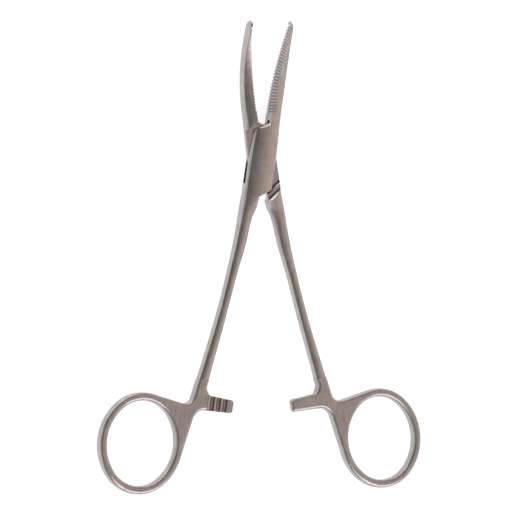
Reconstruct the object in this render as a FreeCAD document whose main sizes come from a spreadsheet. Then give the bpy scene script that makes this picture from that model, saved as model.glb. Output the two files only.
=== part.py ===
import FreeCAD, Part
import Sketcher
import math
import os

# Curved, ratcheted hemostat forceps with a box lock, lying on its back.
# Two forged halves cross at the lock: the box half has the slotted box, the tongue half has
# the flat tongue that passes through the slot, and a flush pin holds them together.
# Each half is drawn in its closed place, with the pin's axis on Z, the tips towards +Y and the
# middle plane at Z = 0. It is then turned open about the pin and lifted onto its rest.

V = FreeCAD.Vector

# Half-width of an outline that is meant to run out past the object's sides
FAR = 30.0

SIZES = {
    # Opening as it lies, and the height of the middle plane above the table
    "half_opening": 9.0,
    # How far a cut runs on past what it cuts, both ends together
    "cut_overrun": 2.0,
    # Box lock
    "box_half_width": 4.35,
    "box_half_thickness": 2.33,
    "box_crown_angle": 24.0,
    "box_side_angle": 48.0,
    "box_edge_radius": 0.18,
    "box_foot": 10.8,
    "box_head": 11.0,
    "box_head_half_width": 3.88,
    "end_angle": 32.0,
    "cheek_top": 9.9,
    "cheek_bottom": 10.9,
    "cheek_corner_radius": 1.0,
    "cheek_bevel": 0.6,
    "cheek_bevel_tilt": 45.0,
    "crotch_radius": 0.5,
    "crotch_side_clearance": 0.02,
    "neck_clearance": 0.06,
    "tongue_top": 10.4,
    "tongue_bottom": 9.6,
    "tongue_thickness": 1.3,
    "slot_clearance": 0.04,
    "shoulder_gap": 0.75,
    "pin_diameter": 2.8,
    "pin_clearance": 0.03,
    # Shank: its centre-line leaves the pin's axis by offset + splay * y + bow * y * y
    "shank_offset": 1.13,
    "shank_splay": 0.0583,
    "shank_bow": 0.00083,
    "neck_width": 4.7,
    "neck_y": 15.0,
    "flare_share": 0.38,
    "calf_share": 0.3,
    # Depth is 1 at the box's thickness, softness is 1 at the plain shank's section
    "neck_depth": 0.62,
    "neck_softness": 0.25,
    "flare_depth": 0.28,
    "flare_softness": 0.6,
    "mid_depth": 0.06,
    "mid_width": 3.15,
    "mid_y": 30.0,
    "waist_width": 2.84,
    "waist_y": 41.0,
    "foot_width": 3.46,
    "foot_y": 64.0,
    "shank_crown_angle": 36.0,
    "shank_side_angle": 30.0,
    "shank_edge_radius": 0.3,
    # Handle: finger ring, web and ratchet arm
    "handle_thickness": 3.2,
    "rim_radius": 0.9,
    "ring_x": 24.28,
    "ring_y": 84.2,
    "ring_opening_width": 20.7,
    "ring_opening_length": 23.8,
    "ring_end_radius": 9.3,
    "ring_wire": 2.3,
    "web_top": 71.75,
    "web_side": 10.31,
    "web_side_y": 74.84,
    "web_radius": 2.6,
    "arm_radius": 2.4,
    "arm_under_radius": 3.6,
    "arm_y": 70.3,
    "arm_reach": 2.27,
    "arm_tip_height": 3.6,
    "arm_root_height": 4.6,
    "arm_under_x": 9.34,
    "arm_tip_radius": 0.9,
    # Ratchet
    "ratchet_pitch": 1.95,
    "ratchet_depth": 0.6,
    "ratchet_teeth": 3,
    "ratchet_pad": 2.6,
    "ratchet_clearance": 0.05,
    "ratchet_land": 0.35,
    "ratchet_valley_share": 0.22,
    "ratchet_crest_share": 0.36,
    "ratchet_cut_margin": 3.5,
    # Jaw: straight, then curved towards the front
    "jaw_straight": 13.4,
    "jaw_curve_radius": 53.0,
    "jaw_length": 39.8,
    "jaw_tip_thickness": 4.1,
    "jaw_tip_half_width": 1.25,
    "jaw_taper": 2.1,
    "jaw_tip_crown_angle": 34.0,
    "jaw_tip_side_angle": 20.0,
    "nose_length": 3.0,
    "jaw_edge_share": 0.25,
    "jaw_relief_root": 0.49,
    "jaw_relief_tip": 0.05,
    "serration_pitch": 0.9,
    "serration_width": 0.78,
    "serration_depth": 0.34,
    "serration_margin": 1.2,
    "serration_overrun": 0.1,
}

doc = FreeCAD.newDocument("hemostat_forceps")
sheet = doc.addObject("Spreadsheet::Sheet", "Sizes")
for row, (alias, value) in enumerate(SIZES.items(), start=1):
    sheet.set("A%d" % row, alias)
    sheet.set("B%d" % row, str(value))
    sheet.setAlias("B%d" % row, alias)
doc.recompute()


def size(alias):
    """The sheet's value for a driving size."""
    return float(sheet.get(alias))


def origin_plane(body, role):
    return next(f for f in body.Origin.OriginFeatures if f.Role == role)


def new_sketch(body, name, role, place=None):
    """A sketch on one of the body's own origin planes, moved by place in that plane's frame."""
    sketch = body.newObject("Sketcher::SketchObject", name)
    sketch.AttachmentSupport = (origin_plane(body, role), [""])
    sketch.MapMode = "FlatFace"
    if place is not None:
        sketch.AttachmentOffset = place
    return sketch


def across(y, z=0.0, lean=0.0):
    """Place of a cross-section's sketch on the XZ plane: at y and z, leaning back by lean degrees."""
    return FreeCAD.Placement(V(0, z, -y), FreeCAD.Rotation(V(1, 0, 0), lean))


class Section:
    """Cross-section of the bar: crowned front and back, bulging sides and softened edges.

    The crown and the side are arcs that meet at a corner. Each turns away from flat by its
    angle there, and the corner itself gets a small round.
    """

    def __init__(self, centre, half_width, half_thickness, angles, edge):
        crown_angle, side_angle = [math.radians(angle) for angle in angles]
        crown_rise = math.tan(crown_angle / 2)
        side_rise = math.tan(side_angle / 2)
        corner_x = (half_width - side_rise * half_thickness) / (1 - side_rise * crown_rise)
        corner_z = half_thickness - corner_x * crown_rise
        self.centre = centre
        self.half_width = half_width
        self.half_thickness = half_thickness
        self.edge = edge
        self.crown_r = corner_x / math.sin(crown_angle)
        self.crown_z = half_thickness - self.crown_r
        self.side_r = corner_z / math.sin(side_angle)
        self.side_x = half_width - self.side_r
        # The corner's round touches both arcs from inside, so its centre is at these distances
        to_crown = self.crown_r - edge
        to_side = self.side_r - edge
        gap = math.hypot(self.side_x, self.crown_z)
        along = (to_crown ** 2 - to_side ** 2 + gap ** 2) / (2 * gap)
        off = math.sqrt(to_crown ** 2 - along ** 2)
        ux, uz = self.side_x / gap, -self.crown_z / gap
        self.edge_centre = (ux * along + uz * off, self.crown_z + uz * along - ux * off)

    def edge_points(self):
        """Touching points of the edge's round on the crown and the side, and its middle."""
        ex, ez = self.edge_centre
        scale = self.crown_r / math.hypot(ex, ez - self.crown_z)
        on_top = (ex * scale, self.crown_z + (ez - self.crown_z) * scale)
        scale = self.side_r / math.hypot(ex - self.side_x, ez)
        on_side = (self.side_x + (ex - self.side_x) * scale, ez * scale)
        mx = (on_top[0] + on_side[0]) / 2 - ex
        mz = (on_top[1] + on_side[1]) / 2 - ez
        scale = self.edge / math.hypot(mx, mz)
        return on_top, (ex + mx * scale, ez + mz * scale), on_side

    def full(self):
        """Eight arcs, from the top right edge's round clockwise to the top crown."""
        top, mid, side = self.edge_points()
        arcs = []
        arcs.append([top, mid, side])
        arcs.append([side, (self.half_width, 0), (side[0], -side[1])])
        arcs.append([(side[0], -side[1]), (mid[0], -mid[1]), (top[0], -top[1])])
        arcs.append([(top[0], -top[1]), (0, -self.half_thickness), (-top[0], -top[1])])
        arcs.append([(-top[0], -top[1]), (-mid[0], -mid[1]), (-side[0], -side[1])])
        arcs.append([(-side[0], -side[1]), (-self.half_width, 0), (-side[0], side[1])])
        arcs.append([(-side[0], side[1]), (-mid[0], mid[1]), (-top[0], top[1])])
        arcs.append([(-top[0], top[1]), (0, self.half_thickness), top])
        return [[(x + self.centre, z) for x, z in arc] for arc in arcs]


def draw(sketch, pieces, hand=1):
    """Adds arcs (three points) and lines (two points) as one closed loop, mirrored by hand."""
    geometry = []
    for piece in pieces:
        points = [V(hand * x, y, 0) for x, y in piece]
        if len(points) == 3:
            geometry.append(Part.Arc(*points))
        else:
            geometry.append(Part.LineSegment(*points))
    sketch.addGeometry(geometry, False)


def rounded(corners):
    """Loop of lines and arcs through corners (x, y, radius)."""
    count = len(corners)
    pieces = []
    previous_end = None
    first_start = None
    for index in range(count):
        x, y, radius = corners[index]
        px, py = corners[index - 1][:2]
        nx, ny = corners[(index + 1) % count][:2]
        if radius:
            ax, ay = px - x, py - y
            bx, by = nx - x, ny - y
            la, lb = math.hypot(ax, ay), math.hypot(bx, by)
            ax, ay, bx, by = ax / la, ay / la, bx / lb, by / lb
            half = math.acos(max(-1.0, min(1.0, ax * bx + ay * by))) / 2
            trim = radius / math.tan(half)
            start = (x + ax * trim, y + ay * trim)
            end = (x + bx * trim, y + by * trim)
            mx, my = ax + bx, ay + by
            lm = math.hypot(mx, my)
            reach = radius / math.sin(half) - radius
            middle = (x + mx / lm * reach, y + my / lm * reach)
        else:
            start = end = (x, y)
            middle = None
        if previous_end is not None:
            pieces.append([previous_end, start])
        else:
            first_start = start
        if middle is not None:
            pieces.append([start, middle, end])
        previous_end = end
    pieces.append([previous_end, first_start])
    return pieces


def pad(body, sketch, name, alias):
    feature = body.newObject("PartDesign::Pad", name)
    feature.Profile = sketch
    feature.Midplane = True
    feature.setExpression("Length", "Sizes." + alias)
    return feature


def pocket(body, sketch, name, length):
    """Cuts the sketch's outline away on both sides of its plane; length is an expression."""
    feature = body.newObject("PartDesign::Pocket", name)
    feature.Profile = sketch
    feature.Midplane = True
    feature.setExpression("Length", length)
    return feature


# Length of a cut that goes right through the box
THROUGH_BOX = "2 * Sizes.box_half_thickness + Sizes.cut_overrun"


def loft(body, sketches, name):
    feature = body.newObject("PartDesign::AdditiveLoft", name)
    feature.Profile = sketches[0]
    feature.Sections = sketches[1:]
    feature.Ruled = False
    return feature


def blend(start, end, share):
    return start + (end - start) * share


def section_angles(name):
    return size(name + "_crown_angle"), size(name + "_side_angle")


def between(first, second, share):
    return [blend(one, other, share) for one, other in zip(first, second)]


def shank_centre(y):
    """Distance of the shank's centre-line from the middle, y below the pin."""
    return size("shank_offset") + size("shank_splay") * y + size("shank_bow") * y * y


def box_section(half_width):
    return Section(0, half_width, size("box_half_thickness"), section_angles("box"),
                   size("box_edge_radius"))


def add_box(body, hand):
    """The crowned block round the pin, as wide as both halves together."""
    stations = [(-size("box_foot"), size("box_half_width")),
                (0.0, size("box_half_width")),
                (size("box_head"), size("box_head_half_width"))]
    sketches = []
    for index, (y, half_width) in enumerate(stations):
        sketch = new_sketch(body, "box_section_%d" % index, "XZ_Plane", across(y))
        draw(sketch, box_section(half_width).full(), hand)
        sketches.append(sketch)
    return loft(body, sketches, "box_block")


def shank_stations():
    """(y, left, right, half thickness, softness) down the shank, in the box half's hand.

    Softness is 0 where the section is the box's own and 1 where it is the plain shank's.
    """
    box = size("box_half_width")
    thick = size("box_half_thickness")
    thin = size("handle_thickness") / 2
    neck, mid, waist, foot = [(size(name + "_y"), size(name + "_width"))
                              for name in ("neck", "mid", "waist", "foot")]
    # Between two named places the width falls faster than the distance grows
    flare, calf = size("flare_share"), size("calf_share")
    stations = [(neck[0], neck[1], size("neck_depth"), size("neck_softness")),
                ((neck[0] + mid[0]) / 2, blend(mid[1], neck[1], flare),
                 size("flare_depth"), size("flare_softness")),
                (mid[0], mid[1], size("mid_depth"), 1.0),
                (waist[0], waist[1], 0.0, 1.0),
                ((waist[0] + foot[0]) / 2, blend(waist[1], foot[1], calf), 0.0, 1.0),
                (foot[0], foot[1], 0.0, 1.0)]
    rows = [(size("box_foot"), -box, box, thick, 0.0)]
    for y, width, depth, softness in stations:
        centre = -shank_centre(y)
        rows.append((y, centre - width / 2, centre + width / 2, blend(thin, thick, depth), softness))
    return rows


def add_shank(body, hand):
    sketches = []
    for index, (y, left, right, thickness, soft) in enumerate(shank_stations()):
        section = Section((left + right) / 2, (right - left) / 2, thickness,
                          between(section_angles("box"), section_angles("shank"), soft),
                          blend(size("box_edge_radius"), size("shank_edge_radius"), soft))
        sketch = new_sketch(body, "shank_section_%d" % index, "XZ_Plane", across(-y))
        draw(sketch, section.full(), hand)
        sketches.append(sketch)
    return loft(body, sketches, "shank")


def jaw_place(travel):
    """(y, z, lean in degrees) of the jaw's centre-line after travel from the pin."""
    straight = size("jaw_straight")
    radius = size("jaw_curve_radius")
    if travel <= straight:
        return travel, 0.0, 0.0
    lean = (travel - straight) / radius
    return straight + radius * math.sin(lean), radius * (1 - math.cos(lean)), math.degrees(lean)


def jaw_relief(travel):
    """Distance of the bite face from the middle, which shrinks so that the tips meet first."""
    head = size("box_head")
    share = (jaw_place(travel)[0] - head) / (jaw_place(size("jaw_length"))[0] - head)
    return blend(size("jaw_relief_root"), size("jaw_relief_tip"), share)


def jaw_loft(body, name, travels, widths, depths, shares, hand):
    """Lofts crowned sections that stand square to the jaw's centre-line."""
    sketches = []
    for index, travel in enumerate(travels):
        # The edge's round shrinks with the width, but not to nothing
        edge = min(1.0, widths[index] / widths[0] + size("jaw_edge_share")) * size("box_edge_radius")
        section = Section(0, widths[index], depths[index],
                          between(section_angles("box"), section_angles("jaw_tip"), shares[index]),
                          edge)
        place = across(*jaw_place(travel))
        sketch = new_sketch(body, "%s_section_%d" % (name, index), "XZ_Plane", place)
        draw(sketch, section.full(), hand)
        sketches.append(sketch)
    return loft(body, sketches, name)


def add_jaw(body, hand):
    """The tapering jaw and its domed nose, both drawn as full sections."""
    head = size("box_head")
    root, tip = size("box_head_half_width"), size("jaw_tip_half_width")
    thick, thin = size("box_half_thickness"), size("jaw_tip_thickness") / 2
    nose_start = size("jaw_length") - size("nose_length")
    shares = [0.0, 0.25, 0.5, 0.75, 1.0]
    jaw_loft(body, "jaw",
             [blend(head, nose_start, share) for share in shares],
             [blend(root, tip, share ** size("jaw_taper")) for share in shares],
             [blend(thick, thin, share) for share in shares],
             shares, hand)
    # The nose closes in like a quarter of an ellipse
    steps = [0.0, 0.5, 0.8, 0.95]
    fall = [math.sqrt(1 - step ** 2) for step in steps]
    jaw_loft(body, "nose",
             [nose_start + size("nose_length") * step for step in steps],
             [tip * scale for scale in fall],
             [thin * scale for scale in fall],
             [1.0] * len(steps), hand)


def ring_arcs(grow):
    """The finger ring's oval as four arcs (x, y, radius, start, end), grown outwards by grow.

    They follow each other clockwise: right side, bottom, left side, top.
    """
    wide = size("ring_opening_width") / 2
    tall = size("ring_opening_length") / 2
    end = size("ring_end_radius")
    side = (wide ** 2 + (tall - end) ** 2 - end ** 2) / (2 * (wide - end))
    turn = math.atan2(tall - end, side - wide)
    x, y = -size("ring_x"), -size("ring_y")
    return [(x + wide - side, y, side + grow, turn, -turn),
            (x, y - tall + end, end + grow, -turn, turn - math.pi),
            (x - wide + side, y, side + grow, turn - math.pi, -turn - math.pi),
            (x, y + tall - end, end + grow, math.pi - turn, turn)]


def arc_piece(arc):
    """Start, middle and end point of one arc (x, y, radius, start, end)."""
    x, y, radius, start, end = arc
    turns = (start, (start + end) / 2, end)
    return [(x + radius * math.cos(turn), y + radius * math.sin(turn)) for turn in turns]


def touch_angle(arc, x, y, side):
    """Where on the arc's circle the line from (x, y) touches it, on the given side."""
    far = math.hypot(x - arc[0], y - arc[1])
    return math.atan2(y - arc[1], x - arc[0]) + side * math.acos(arc[2] / far)


def add_handle(body, hand):
    """Finger ring, web and ratchet arm as one flat piece with rounded rims."""
    foot = size("foot_y")
    half = size("foot_width") / 2
    arm_y = -size("arm_y")
    tip = size("arm_reach")
    lean = size("shank_splay") + 2 * size("shank_bow") * foot

    def shank_side(y, side):
        return -shank_centre(foot) - lean * (-y - foot) + side * half

    right, bottom, left, top = ring_arcs(size("ring_wire"))
    web_y = -size("web_top")
    web_x = shank_side(web_y, -1)
    under_x, under_y = -size("web_side"), -size("web_side_y")
    # The web runs into the ring's top, and its inner side into the ring's right side
    top = top[:4] + (touch_angle(top, web_x, web_y, 1),)
    right = right[:3] + (touch_angle(right, under_x, under_y, -1), right[4])
    ring = [arc_piece(arc) for arc in (right, bottom, left, top)]
    top_end, right_start = ring[3][2], ring[0][0]
    corners = [
        (top_end[0], top_end[1], 0),
        (web_x, web_y, size("web_radius")),
        (shank_side(-foot, -1), -foot, 0),
        (shank_side(-foot, 1), -foot, 0),
        (shank_side(arm_y, 1), arm_y + size("arm_root_height") / 2, size("arm_radius")),
        (tip, arm_y + size("arm_tip_height") / 2, size("arm_tip_radius")),
        (tip, arm_y - size("arm_tip_height") / 2, size("arm_tip_radius")),
        (-size("arm_under_x"), arm_y - size("arm_root_height") / 2, size("arm_under_radius")),
        (right_start[0], right_start[1], 0),
    ]
    sketch = new_sketch(body, "handle_outline", "XY_Plane")
    draw(sketch, rounded(corners)[:-1] + ring, hand)
    pad(body, sketch, "handle_plate", "handle_thickness")
    hole = new_sketch(body, "finger_opening", "XY_Plane")
    draw(hole, [arc_piece(arc) for arc in ring_arcs(0.0)], hand)
    cut = pocket(body, hole, "finger_ring", "2 * Sizes.handle_thickness")
    doc.recompute()
    # Every front and back edge of the plate gets the same round
    rims = []
    level = size("handle_thickness") / 2
    for index, edge in enumerate(cut.Shape.Edges, start=1):
        box = edge.BoundBox
        flat = box.ZMax - box.ZMin < 1e-6 and abs(abs(box.ZMax) - level) < 1e-6
        if flat and abs(box.YMax + foot) > 1e-6:
            rims.append("Edge%d" % index)
    rim = body.newObject("PartDesign::Fillet", "rims")
    rim.Base = (cut, rims)
    rim.setExpression("Radius", "Sizes.rim_radius")
    return rim


def outline(body, name, corners, hand):
    sketch = new_sketch(body, name, "XY_Plane")
    draw(sketch, rounded(corners), hand)
    return sketch


def end_slope():
    """Fall of the box's and tongue's oblique ends, per unit across."""
    return math.tan(math.radians(size("end_angle")))


def shoulder_step():
    """The shoulder's gap, measured along the middle."""
    return size("shoulder_gap") / math.cos(math.radians(size("end_angle")))


def cut_head(body, hand, top):
    """Clears the other jaw's side: above the box's or tongue's oblique end, and up the bite face."""
    slope = end_slope()
    root = size("jaw_relief_root")
    end_y = jaw_place(size("jaw_length"))[0]
    end = end_y + size("jaw_tip_thickness")
    tip = root + (size("jaw_relief_tip") - root) * (end - size("box_head")) / (end_y - size("box_head"))
    corners = [(-FAR, top - FAR * slope, 0), (root, top + root * slope, 0),
               (root, size("box_head"), 0), (tip, end, 0), (-FAR, end, 0)]
    sketch = outline(body, "head_outline", corners, hand)
    return pocket(body, sketch, "head_cut", "2 * (Sizes.jaw_length - Sizes.jaw_straight)")


def cut_crotch(body, hand, bottom):
    """Clears the other shank's side below the oblique end of the box or tongue."""
    slope = end_slope()
    inner = -size("neck_clearance")
    low = -(size("neck_y") + size("mid_y")) / 2
    side = size("box_half_width") + size("crotch_side_clearance")
    side_y = -bottom + side * slope
    corners = [(inner, -bottom + inner * slope, size("crotch_radius")),
               (inner, low, 0),
               (FAR, low, 0),
               (FAR, side_y + FAR, 0),
               (side, side_y + FAR, 0),
               (side, side_y, size("cheek_corner_radius"))]
    sketch = outline(body, "crotch_outline", corners, hand)
    return pocket(body, sketch, "crotch_cut", THROUGH_BOX)


def cut_bevels(body, name, level, limit):
    """Bevels the front and back edges of an oblique end that faces the tips.

    The end's plane passes (0, level) and the bevel stops at x = limit. It is widest under the
    crown and runs out towards the sides.
    """
    turn = size("end_angle")
    tilt = size("cheek_bevel_tilt")
    lean = math.cos(math.radians(tilt)) * math.tan(math.radians(turn))
    deep = size("box_half_thickness")
    reach = size("box_foot")
    stop = limit / math.cos(math.radians(turn))
    corners = [(-reach, -deep, 0), (stop - deep * lean, -deep, 0),
               (stop + deep * lean, deep, 0), (-reach, deep, 0)]
    for face, side in (("front", 1), ("back", -1)):
        way = FreeCAD.Rotation(V(0, 0, 1), turn).multiply(FreeCAD.Rotation(V(1, 0, 0), -side * tilt))
        height = side * (size("box_half_thickness") - size("cheek_bevel"))
        sketch = new_sketch(body, "%s_%s_outline" % (name, face), "XY_Plane",
                            FreeCAD.Placement(V(0, level, height), way))
        draw(sketch, rounded(corners))
        bevel = pocket(body, sketch, "%s_%s" % (name, face), "2 * Sizes.box_half_thickness")
        bevel.Midplane = False
        bevel.Reversed = side > 0


def cut_slot(body, hand):
    """The slot through the box that the tongue turns in."""
    slope = end_slope()
    gap = shoulder_step()
    relief = size("jaw_relief_root")
    top = size("tongue_top") + gap
    bottom = size("tongue_bottom") + gap
    inner = -size("neck_clearance")
    corners = [(relief, FAR, 0), (relief, top - relief * slope, 0), (FAR, top - FAR * slope, 0),
               (FAR, -FAR, 0), (inner, -FAR, 0), (inner, -bottom - inner * slope, 0),
               (-FAR, -bottom + FAR * slope, 0), (-FAR, FAR, 0)]
    sketch = outline(body, "slot_outline", corners, hand)
    cut = body.newObject("PartDesign::Pocket", "slot")
    cut.Profile = sketch
    cut.Midplane = True
    cut.setExpression("Length", "Sizes.tongue_thickness + 2 * Sizes.slot_clearance")
    return cut


def cut_tongue(body, hand):
    """Thins the crossing to the tongue, front and back, between two oblique shoulders."""
    slope = end_slope()
    gap = shoulder_step()
    top = size("cheek_top") + gap
    bottom = size("cheek_bottom") + gap
    # Seen in the tongue half's own hand, its jaw is on the right and its shank on the left
    for name, side in (("front", 1), ("back", -1)):
        corners = [(-FAR, top + FAR * slope, 0), (FAR, top - FAR * slope, 0),
                   (FAR, -bottom - FAR * slope, 0), (-FAR, -bottom + FAR * slope, 0)]
        low = size("tongue_thickness") / 2
        depth = size("box_half_thickness") + size("cut_overrun") / 2 - low
        place = FreeCAD.Placement(V(0, 0, side * (low + depth / 2)), FreeCAD.Rotation())
        sketch = new_sketch(body, "tongue_%s_outline" % name, "XY_Plane", place)
        draw(sketch, rounded(corners), hand)
        pocket(body, sketch, "tongue_" + name,
               "Sizes.box_half_thickness + (Sizes.cut_overrun - Sizes.tongue_thickness) / 2")


def cut_pin_hole(body, alias_expression):
    sketch = new_sketch(body, "pin_outline", "XY_Plane")
    index = sketch.addGeometry(Part.Circle(V(0, 0, 0), V(0, 0, 1), size("pin_diameter") / 2), False)
    sketch.addConstraint(Sketcher.Constraint("Coincident", index, 3, -1, 1))
    number = sketch.addConstraint(Sketcher.Constraint("Diameter", index, size("pin_diameter")))
    sketch.setExpression("Constraints[%d]" % number, alias_expression)
    return pocket(body, sketch, "pin_hole", THROUGH_BOX)


def cut_ratchet(body, hand, face):
    """Halves the arm's thickness and cuts the rack; face is 1 for teeth in front, -1 behind."""
    pitch = size("ratchet_pitch")
    depth = size("ratchet_depth")
    crest = -size("ratchet_clearance")
    tip = size("arm_reach")
    count = int(round(size("ratchet_teeth")))
    start = tip - size("ratchet_pad") - count * pitch
    above = size("handle_thickness")
    points = [(start - size("ratchet_land"), above)]
    # A valley before each tooth, and one more between the last tooth and the arm's end
    for valley in range(count + 1):
        x = start + valley * pitch
        points.append((x, crest - depth))
        points.append((x + pitch * size("ratchet_valley_share"), crest - depth))
        points.append((x + pitch * size("ratchet_crest_share"), crest))
    end = tip + size("cut_overrun")
    points.append((end, crest))
    points.append((end, above))
    loop = []
    for index, point in enumerate(points):
        after = points[(index + 1) % len(points)]
        loop.append([(point[0], face * point[1]), (after[0], face * after[1])])
    sketch = new_sketch(body, "ratchet_outline", "XZ_Plane", across(-size("arm_y")))
    draw(sketch, loop, hand)
    return pocket(body, sketch, "ratchet", "Sizes.arm_root_height + Sizes.ratchet_cut_margin")


def cut_serrations(body, hand, phase):
    """V grooves across the bite face, in a row round the jaw's curve."""
    pitch = size("serration_pitch")
    depth = size("serration_depth")
    radius = size("jaw_curve_radius")
    travel = size("jaw_straight") + phase * pitch
    y, z, lean = jaw_place(travel)
    face = jaw_relief(travel)
    # The V runs on past the face, so that it still cuts where the relief is at its widest
    reach = size("jaw_relief_root") + size("serration_overrun")
    width = size("serration_width") / 2 * (reach + depth) / depth
    place = FreeCAD.Placement(V(0, y, z), FreeCAD.Rotation(V(1, 0, 0), lean))
    sketch = new_sketch(body, "groove_outline", "XY_Plane", place)
    loop = rounded([(face + depth, 0, 0), (face - reach, width, 0), (face - reach, -width, 0)])
    draw(sketch, loop, hand)
    groove = pocket(body, sketch, "groove", THROUGH_BOX)
    axis = new_sketch(body, "curve_axis", "XY_Plane",
                      FreeCAD.Placement(V(0, size("jaw_straight"), radius), FreeCAD.Rotation()))
    doc.recompute()
    count = int((size("jaw_length") - size("serration_margin") - travel) / pitch) + 1
    grooves = body.newObject("PartDesign::PolarPattern", "serrations")
    grooves.Originals = [groove]
    grooves.Axis = (axis, ["H_Axis"])
    grooves.Angle = math.degrees((count - 1) * pitch / radius)
    grooves.Occurrences = count
    body.Tip = grooves
    return grooves


def make_half(name, hand):
    """hand is 1 for the box half (jaw on the right), -1 for the tongue half."""
    body = doc.addObject("PartDesign::Body", name)
    body.Label = name
    is_box = hand > 0
    add_handle(body, hand)
    add_shank(body, hand)
    add_box(body, hand)
    add_jaw(body, hand)
    doc.recompute()
    cut_head(body, hand, size("cheek_top") if is_box else size("tongue_top"))
    cut_crotch(body, hand, size("cheek_bottom") if is_box else size("tongue_bottom"))
    if is_box:
        cut_bevels(body, "cheek_bevel", size("cheek_top"), size("jaw_relief_root"))
        cut_slot(body, hand)
        cut_pin_hole(body, "Sizes.pin_diameter")
    else:
        cut_tongue(body, hand)
        level = -size("cheek_bottom") - shoulder_step()
        cut_bevels(body, "shoulder_bevel", level, size("box_half_width"))
        cut_pin_hole(body, "Sizes.pin_diameter + 2 * Sizes.pin_clearance")
    cut_ratchet(body, hand, 1 if is_box else -1)
    cut_serrations(body, hand, 0.0 if is_box else 0.5)
    turn = -hand * size("half_opening")
    body.Placement = FreeCAD.Placement(V(0, 0, size("box_half_thickness")),
                                       FreeCAD.Rotation(V(0, 0, 1), turn))
    return body


def make_pin():
    """The pin's ends follow the box's crowned faces, so nothing stands proud."""
    body = doc.addObject("PartDesign::Body", "lock_pin")
    body.Label = "lock_pin"
    add_box(body, 1)
    far = size("box_half_width") + size("box_foot") + size("box_head")
    corners = [(-far, -far, 0), (far, -far, 0), (far, far, 0), (-far, far, 0)]
    sketch = outline(body, "pin_surround", corners, 1)
    sketch.addGeometry(Part.Circle(V(0, 0, 0), V(0, 0, 1), size("pin_diameter") / 2), False)
    pocket(body, sketch, "pin_trim", "4 * Sizes.box_half_thickness")
    body.Placement = FreeCAD.Placement(V(0, 0, size("box_half_thickness")),
                                       FreeCAD.Rotation(V(0, 0, 1), -size("half_opening")))
    return body


pieces = [make_half("box_half", 1), make_half("tongue_half", -1), make_pin()]
doc.recompute()

for thing in doc.Objects:
    if "Invalid" in thing.State or "Error" in thing.State:
        raise RuntimeError("%s failed: %s" % (thing.Name, thing.State))

os.makedirs("parts", exist_ok=True)
for piece in pieces:
    shape = piece.Shape
    if shape.isNull() or not shape.isValid() or len(shape.Solids) != 1:
        raise RuntimeError("%s has no single valid solid" % piece.Label)
    shape.exportStep("parts/%s.step" % piece.Label)
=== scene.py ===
import math

import bmesh
import bpy
from bpy.props import FloatProperty, FloatVectorProperty, PointerProperty
from mathutils import Matrix, Vector


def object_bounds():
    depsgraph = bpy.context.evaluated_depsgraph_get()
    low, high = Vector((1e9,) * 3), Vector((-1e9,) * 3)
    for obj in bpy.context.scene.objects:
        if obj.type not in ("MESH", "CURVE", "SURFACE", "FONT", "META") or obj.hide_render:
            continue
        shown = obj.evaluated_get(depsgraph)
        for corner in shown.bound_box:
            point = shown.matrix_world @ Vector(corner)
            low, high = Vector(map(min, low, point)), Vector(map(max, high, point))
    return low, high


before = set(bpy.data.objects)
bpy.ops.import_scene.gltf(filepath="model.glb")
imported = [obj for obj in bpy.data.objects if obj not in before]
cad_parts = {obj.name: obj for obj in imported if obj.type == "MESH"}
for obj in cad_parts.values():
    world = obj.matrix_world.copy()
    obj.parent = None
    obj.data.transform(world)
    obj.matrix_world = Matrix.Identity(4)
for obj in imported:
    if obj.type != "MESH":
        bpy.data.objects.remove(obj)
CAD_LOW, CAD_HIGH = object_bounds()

# Looks of the hemostat forceps: satin steel on the two forged halves and the pin, on a pale floor.

bl_info = {
    "name": "Hemostat Forceps",
    "version": (1, 0, 0),
    "blender": (4, 5, 0),
    "location": "View3D > Sidebar > Forceps",
    "description": "Finishes the forceps' two halves and pin in satin steel and sets the stage",
    "category": "Add Mesh",
}

PIN = "lock_pin"
# Each half lies turned from straight by this much, and its brushing with it
HALF_TURNS = {"box_half": math.radians(-9.0), "tongue_half": math.radians(9.0)}

# Each pattern shades the steel between two readings, given as (reading, share of the full tone)
CLOUD_TONES = ((0.30, 0.90), (0.70, 1.12))
STROKE_TONES = ((0.32, 0.88), (0.66, 1.0))
GRAIN_TONES = ((0.30, 0.82), (0.70, 1.0))
# Painted shade in the grooves: the colour darkens where walls stand near
GROOVE_SHADE_TONES = ((0.42, 0.36), (0.90, 1.0))
# How much of its shading each pattern gives
STROKE_WEIGHT = 0.9
GRAIN_WEIGHT = 0.8
# How much of the painted groove shade is given
GROOVE_SHADE_WEIGHT = 1.0
# The roughness changes by these offsets between these readings of the strokes
ROUGHNESS_READINGS = (0.3, 0.7)
ROUGHNESS_OFFSETS = (-0.05, 0.06)
# Share of the grain depth that the strokes and the grain stand out by
STROKE_RELIEF = 0.35
GRAIN_RELIEF = 0.5

FLOOR_COLOUR = (0.62, 0.65, 0.66, 1.0)
FLOOR_GLOW_COLOUR = (1.0, 1.0, 1.0, 1.0)
FLOOR_HALF_WIDTH = 4.0
# The floor lies this far under the forceps, so that no two faces coincide
FLOOR_GAP = 0.0002
# Colour of the studio's walls and ceiling from the far left (0) to the far right (1)
SKY_STOPS = (
    (0.00, (0.62, 0.67, 0.60)),
    (0.09, (0.50, 0.53, 0.48)),
    (0.20, (0.18, 0.165, 0.158)),
    (0.36, (0.15, 0.130, 0.124)),
    (0.71, (0.46, 0.385, 0.360)),
    (0.98, (0.82, 0.680, 0.600)),
)
# The soft lights are a little lilac, for the tint of the bevels and of the jaws' upper ends
LAMP_COLOUR = (1.0, 0.92, 0.97)
TIP_LIGHT_PLACE = (-0.30, 0.95, 0.34)
TIP_LIGHT_SIZE = (1.1, 0.34)
RING_LIGHT_PLACE = (0.25, -0.88, 0.80)
RING_LIGHT_SIZE = (1.3, 0.8)

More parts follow.
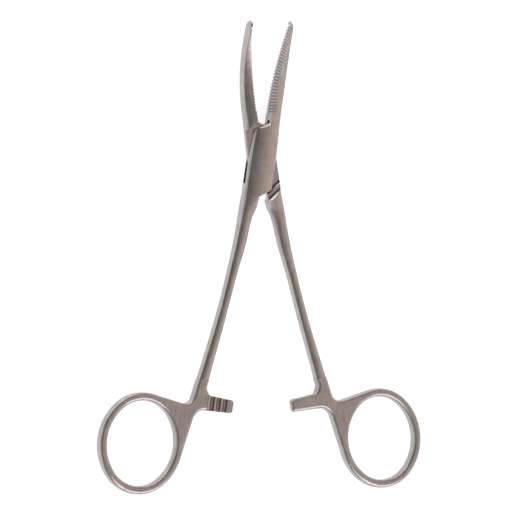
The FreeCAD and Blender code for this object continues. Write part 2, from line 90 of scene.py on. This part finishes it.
LENGTH_UNIT = {"subtype": "DISTANCE", "unit": "LENGTH"}
ANGLE_UNIT = {"subtype": "ANGLE", "unit": "ROTATION"}
POWER_UNIT = {"subtype": "POWER", "unit": "POWER"}


class SteelSettings(bpy.types.PropertyGroup):
    """Finish of the satin steel."""

    colour: FloatVectorProperty(
        name="Colour", description="Colour of the bare steel", subtype="COLOR",
        size=3, min=0.0, max=1.0, default=(0.437, 0.418, 0.402))
    roughness: FloatProperty(
        name="Roughness", description="How far the satin finish spreads a reflection",
        subtype="FACTOR", min=0.0, max=1.0, default=0.30)
    cloud: FloatProperty(
        name="Cloud size", description="Size of the soft uneven patches in the finish",
        min=0.0005, max=0.02, default=0.0024, precision=4, **LENGTH_UNIT)
    grain: FloatProperty(
        name="Grain size", description="Size of the blasted grain",
        min=0.00002, max=0.002, default=0.00016, precision=5, **LENGTH_UNIT)
    grain_depth: FloatProperty(
        name="Grain depth", description="Depth of the blasted grain and of the polishing strokes",
        min=0.0, max=0.0005, default=0.000007, precision=6, **LENGTH_UNIT)
    stroke: FloatProperty(
        name="Brush stroke", description="Length of the polishing strokes along each half",
        min=0.001, max=0.05, default=0.009, precision=4, **LENGTH_UNIT)
    stroke_width: FloatProperty(
        name="Stroke width", description="Width of the polishing strokes",
        min=0.00002, max=0.002, default=0.0004, precision=5, **LENGTH_UNIT)
    edge: FloatProperty(
        name="Edge softness", description="Radius to which handling has worn the edges",
        min=0.0, max=0.001, default=0.00012, precision=5, **LENGTH_UNIT)
    # Reach of the painted shade in the grooves
    groove_shade: FloatProperty(
        name="Cavity reach", description="How near a wall has to be to keep a groove dark",
        min=0.0, max=0.01, default=0.0007, precision=5, **LENGTH_UNIT)


class StageSettings(bpy.types.PropertyGroup):
    """Floor, lights and camera."""

    target: FloatVectorProperty(
        name="Camera target", description="Point that the camera looks at",
        subtype="XYZ", unit="LENGTH", size=3, default=(-0.00140, -0.02746, 0.00168))
    distance: FloatProperty(
        name="Camera distance", description="From the camera to the point it looks at",
        min=0.1, max=10.0, default=1.179, **LENGTH_UNIT)
    yaw: FloatProperty(
        name="Camera yaw", description="How far the camera stands to the forceps' left",
        min=-1.5, max=1.5, default=math.radians(25.0), **ANGLE_UNIT)
    pitch: FloatProperty(
        name="Camera pitch", description="How far the camera stands towards the tips",
        min=-1.5, max=1.5, default=math.radians(0.24), **ANGLE_UNIT)
    view_width: FloatProperty(
        name="View width", description="Width of what the camera sees at the forceps",
        min=0.01, max=2.0, default=0.1439, **LENGTH_UNIT)
    tip_light: FloatProperty(
        name="Tip light", description="Power of the low light past the tips, on the bevels",
        min=0.0, max=500.0, default=3.4, **POWER_UNIT)
    ring_light: FloatProperty(
        name="Ring light", description="Power of the soft light past the finger rings",
        min=0.0, max=500.0, default=7.5, **POWER_UNIT)
    sky: FloatProperty(
        name="Sky", description="Strength of the light from the studio's walls and ceiling",
        min=0.0, max=10.0, default=1.38)
    floor_glow: FloatProperty(
        name="Floor glow", description="How strongly the white floor panel is lit from below",
        min=0.0, max=10.0, default=0.76)


def steel_settings():
    return bpy.context.scene.forceps_steel


def stage_settings():
    return bpy.context.scene.forceps_stage


def ramp(tree, fac, stops):
    """A colour ramp through (position, grey or colour) stops."""
    node = tree.nodes.new("ShaderNodeValToRGB")
    tree.links.new(fac, node.inputs["Fac"])
    elements = node.color_ramp.elements
    while len(elements) < len(stops):
        elements.new(1.0)
    for element, (position, value) in zip(elements, stops):
        element.position = position
        element.color = (value, value, value, 1.0) if isinstance(value, float) else (*value, 1.0)
    return node.outputs["Color"]


def noise(tree, place, scale, detail, roughness):
    node = tree.nodes.new("ShaderNodeTexNoise")
    tree.links.new(place, node.inputs["Vector"])
    node.inputs["Scale"].default_value = scale
    node.inputs["Detail"].default_value = detail
    node.inputs["Roughness"].default_value = roughness
    return node.outputs["Fac"]


def multiply(tree, first, second, factor):
    node = tree.nodes.new("ShaderNodeMix")
    node.data_type = "RGBA"
    node.blend_type = "MULTIPLY"
    node.inputs["Factor"].default_value = factor
    tree.links.new(first, node.inputs["A"])
    tree.links.new(second, node.inputs["B"])
    return node.outputs["Result"]


def bump(tree, height, distance, strength, below):
    """The normals of below, raised by height."""
    node = tree.nodes.new("ShaderNodeBump")
    node.inputs["Strength"].default_value = strength
    node.inputs["Distance"].default_value = distance
    tree.links.new(height, node.inputs["Height"])
    tree.links.new(below, node.inputs["Normal"])
    return node.outputs["Normal"]


def polishing_strokes(tree, place, turn, settings):
    """A fine streaky pattern along a half that lies turned by turn."""
    along = tree.nodes.new("ShaderNodeMapping")
    along.vector_type = "TEXTURE"
    along.inputs["Rotation"].default_value = (0.0, 0.0, turn)
    width = settings.stroke_width
    along.inputs["Scale"].default_value = (width, settings.stroke, width)
    tree.links.new(place, along.inputs["Vector"])
    return noise(tree, along.outputs["Vector"], 1.0, detail=3.0, roughness=0.6)


def steel_tone(tree, place, strokes, grain, settings):
    """The steel's colour, uneven in soft clouds and darker in the strokes and grain, with painted
    shade in the grooves.
    """
    clouds = noise(tree, place, 1.0 / settings.cloud, detail=4.0, roughness=0.55)
    steel = Vector(settings.colour)
    tone = ramp(tree, clouds, [(reading, tuple(steel * share)) for reading, share in CLOUD_TONES])
    tone = multiply(tree, tone, ramp(tree, strokes, STROKE_TONES), STROKE_WEIGHT)
    tone = multiply(tree, tone, ramp(tree, grain, GRAIN_TONES), GRAIN_WEIGHT)
    # Painted shade: the colour is darkened in grooves and crevices by how near other walls stand
    groove_shade = tree.nodes.new("ShaderNodeAmbientOcclusion")
    groove_shade.samples = 8
    groove_shade.only_local = True
    groove_shade.inputs["Distance"].default_value = settings.groove_shade
    return multiply(tree, tone, ramp(tree, groove_shade.outputs["AO"], GROOVE_SHADE_TONES), GROOVE_SHADE_WEIGHT)


def steel_roughness(tree, strokes, settings):
    """The roughness, which changes a little from stroke to stroke."""
    rough = tree.nodes.new("ShaderNodeMapRange")
    tree.links.new(strokes, rough.inputs["Value"])
    for end, reading, offset in zip(("Min", "Max"), ROUGHNESS_READINGS, ROUGHNESS_OFFSETS):
        rough.inputs["From " + end].default_value = reading
        rough.inputs["To " + end].default_value = settings.roughness + offset
    return rough.outputs["Result"]


def steel_normal(tree, strokes, grain, settings):
    """Worn edges, with the relief of the strokes and the grain on them."""
    worn = tree.nodes.new("ShaderNodeBevel")
    worn.samples = 6
    worn.inputs["Radius"].default_value = settings.edge
    depth = settings.grain_depth
    brushed = bump(tree, strokes, depth, STROKE_RELIEF, worn.outputs["Normal"])
    return bump(tree, grain, depth, GRAIN_RELIEF, brushed)


def satin_steel(name, turn, settings):
    """Blasted and lightly brushed steel with soft clouds, fine grain and worn edges."""
    material = bpy.data.materials.new(name)
    material.use_nodes = True
    tree = material.node_tree
    shader = tree.nodes["Principled BSDF"]
    shader.inputs["Metallic"].default_value = 1.0
    place = tree.nodes.new("ShaderNodeTexCoord").outputs["Object"]
    strokes = polishing_strokes(tree, place, turn, settings)
    grain = noise(tree, place, 1.0 / settings.grain, detail=2.0, roughness=0.6)
    tone = steel_tone(tree, place, strokes, grain, settings)
    tree.links.new(tone, shader.inputs["Base Color"])
    tree.links.new(steel_roughness(tree, strokes, settings), shader.inputs["Roughness"])
    tree.links.new(steel_normal(tree, strokes, grain, settings), shader.inputs["Normal"])
    return material


def dress(node_name, material):
    """Gives a CAD node the material on every face."""
    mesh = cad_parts[node_name].data
    mesh.materials.clear()
    mesh.materials.append(material)


class FORCEPS_OT_halves(bpy.types.Operator):
    """Finish both forged halves in satin steel, brushed along their length"""

    bl_idname = "forceps.halves"
    bl_label = "Finish Halves"

    def execute(self, context):
        for name, turn in HALF_TURNS.items():
            dress(name, satin_steel("satin_steel_" + name, turn, steel_settings()))
        return {"FINISHED"}


class FORCEPS_OT_pin(bpy.types.Operator):
    """Finish the lock pin's flush ends as the box half round them"""

    bl_idname = "forceps.pin"
    bl_label = "Finish Pin"

    def execute(self, context):
        dress(PIN, satin_steel("pin_steel", HALF_TURNS["box_half"], steel_settings()))
        return {"FINISHED"}


def pale_floor(glow):
    """The matt white floor panel's material, lit from below by glow."""
    material = bpy.data.materials.new("pale_floor")
    material.use_nodes = True
    shader = material.node_tree.nodes["Principled BSDF"]
    shader.inputs["Base Color"].default_value = FLOOR_COLOUR
    shader.inputs["Roughness"].default_value = 0.95
    shader.inputs["Specular IOR Level"].default_value = 0.1
    shader.inputs["Emission Color"].default_value = FLOOR_GLOW_COLOUR
    shader.inputs["Emission Strength"].default_value = glow
    return material


def soft_light(name, place, target, size, power):
    """A rectangular soft light at place that faces target."""
    data = bpy.data.lights.new(name, "AREA")
    data.shape = "RECTANGLE"
    data.size, data.size_y = size
    data.energy = power
    data.color = LAMP_COLOUR
    lamp = bpy.data.objects.new(name, data)
    lamp.location = place
    lamp.rotation_mode = "QUATERNION"
    lamp.rotation_quaternion = (target - Vector(place)).to_track_quat("-Z", "Y")
    bpy.context.scene.collection.objects.link(lamp)


class FORCEPS_OT_stage(bpy.types.Operator):
    """Lay the pale floor and set the lights and the camera"""

    bl_idname = "forceps.stage"
    bl_label = "Set Stage"

    def execute(self, context):
        settings = stage_settings()
        self.lay_floor(settings)
        self.light(settings)
        self.aim_camera(settings)
        return {"FINISHED"}

    def lay_floor(self, settings):
        mesh = bpy.data.meshes.new("floor")
        shape = bmesh.new()
        bmesh.ops.create_grid(shape, x_segments=1, y_segments=1, size=FLOOR_HALF_WIDTH)
        height = CAD_LOW.z - FLOOR_GAP
        bmesh.ops.translate(shape, verts=shape.verts, vec=(0.0, 0.0, height))
        shape.to_mesh(mesh)
        shape.free()
        mesh.materials.append(pale_floor(settings.floor_glow))
        floor = bpy.data.objects.new("floor", mesh)
        bpy.context.scene.collection.objects.link(floor)

    def light(self, settings):
        """A studio that is dim overhead and lighter at the sides, and a soft light past each end."""
        world = bpy.data.worlds.new("studio")
        world.use_nodes = True
        tree = world.node_tree
        direction = tree.nodes.new("ShaderNodeTexCoord").outputs["Generated"]
        across = tree.nodes.new("ShaderNodeSeparateXYZ")
        tree.links.new(direction, across.inputs["Vector"])
        share = tree.nodes.new("ShaderNodeMapRange")
        share.inputs["From Min"].default_value = -1.0
        tree.links.new(across.outputs["X"], share.inputs["Value"])
        background = tree.nodes["Background"]
        sky = ramp(tree, share.outputs["Result"], SKY_STOPS)
        tree.links.new(sky, background.inputs["Color"])
        background.inputs["Strength"].default_value = settings.sky
        scene = bpy.context.scene
        scene.world = world
        scene.view_settings.view_transform = "Standard"
        middle = Vector((settings.target[0], settings.target[1], 0.0))
        soft_light("tip_light", TIP_LIGHT_PLACE, middle, TIP_LIGHT_SIZE, settings.tip_light)
        soft_light("ring_light", RING_LIGHT_PLACE, middle, RING_LIGHT_SIZE, settings.ring_light)

    def aim_camera(self, settings):
        """The camera stands where the photograph was taken from, with +Y upright in the picture."""
        yaw, pitch = settings.yaw, settings.pitch
        level = math.cos(pitch)
        back = Vector((-math.sin(yaw) * level, math.sin(pitch), math.cos(yaw) * level))
        right = Vector((math.cos(yaw), 0.0, math.sin(yaw)))
        axes = Matrix((right, back.cross(right), back)).transposed()
        data = bpy.data.cameras.new("camera")
        data.sensor_width = 36.0
        data.lens = data.sensor_width * settings.distance / settings.view_width
        data.clip_start, data.clip_end = 0.05, 20.0
        camera = bpy.data.objects.new("camera", data)
        camera.location = Vector(settings.target) + back * settings.distance
        camera.rotation_mode = "QUATERNION"
        camera.rotation_quaternion = axes.to_quaternion()
        bpy.context.scene.collection.objects.link(camera)
        bpy.context.scene.camera = camera


class FORCEPS_PT_sidebar(bpy.types.Panel):
    """Settings and steps of the forceps"""

    bl_label = "Hemostat Forceps"
    bl_space_type = "VIEW_3D"
    bl_region_type = "UI"
    bl_category = "Forceps"

    def draw(self, context):
        for settings in (steel_settings(), stage_settings()):
            for name in settings.bl_rna.properties.keys():
                if name not in {"rna_type", "name"}:
                    self.layout.prop(settings, name)
        for step in STEPS:
            self.layout.operator(step.bl_idname)


SETTINGS = (SteelSettings, StageSettings)
STEPS = (FORCEPS_OT_halves, FORCEPS_OT_pin, FORCEPS_OT_stage)


def register():
    for kind in SETTINGS + STEPS + (FORCEPS_PT_sidebar,):
        bpy.utils.register_class(kind)
    bpy.types.Scene.forceps_steel = PointerProperty(type=SteelSettings)
    bpy.types.Scene.forceps_stage = PointerProperty(type=StageSettings)


def unregister():
    del bpy.types.Scene.forceps_stage
    del bpy.types.Scene.forceps_steel
    for kind in reversed(SETTINGS + STEPS + (FORCEPS_PT_sidebar,)):
        bpy.utils.unregister_class(kind)


def main():
    register()
    bpy.ops.forceps.halves()
    bpy.ops.forceps.pin()
    bpy.ops.forceps.stage()


if __name__ == "__main__":
    main()
